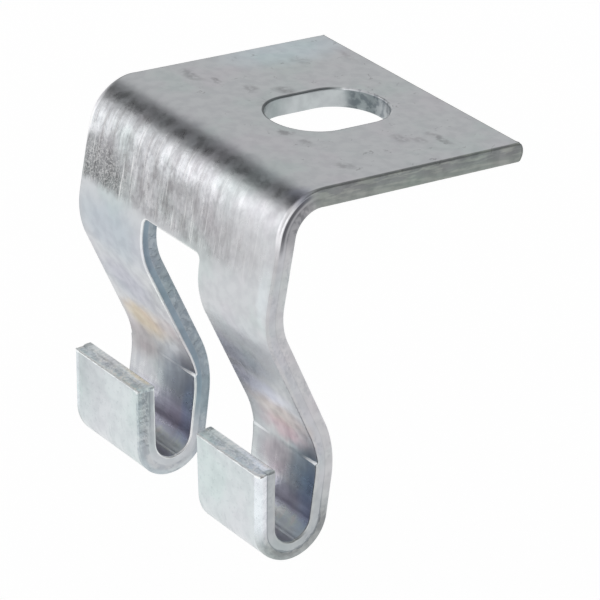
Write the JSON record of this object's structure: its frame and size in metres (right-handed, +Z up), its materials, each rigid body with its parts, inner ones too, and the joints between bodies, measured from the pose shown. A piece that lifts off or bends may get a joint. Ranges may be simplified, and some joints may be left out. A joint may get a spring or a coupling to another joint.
{
  "type": "conductor suspension clamp",
  "caption": "Bent sheet-steel hanger clamp: a slotted fixing flange turns down into a split web whose legs sweep back and curl up into side-by-side hooks that carry a thin round conductor.",
  "frame": {"origin": "centre of the bolt slot on the flange's top face", "axes": "+Z up, out of the flange's top face; +X from the web to the flange's free edge; Y across the strip, along the conductor"},
  "size_m": [0.0426, 0.045, 0.0566],
  "materials": {
    "zinc_steel": "zinc plated, bright and faintly mottled"
  },
  "bodies": {
    "root": {"hanger": "zinc_steel"}
  },
  "joints": []
}
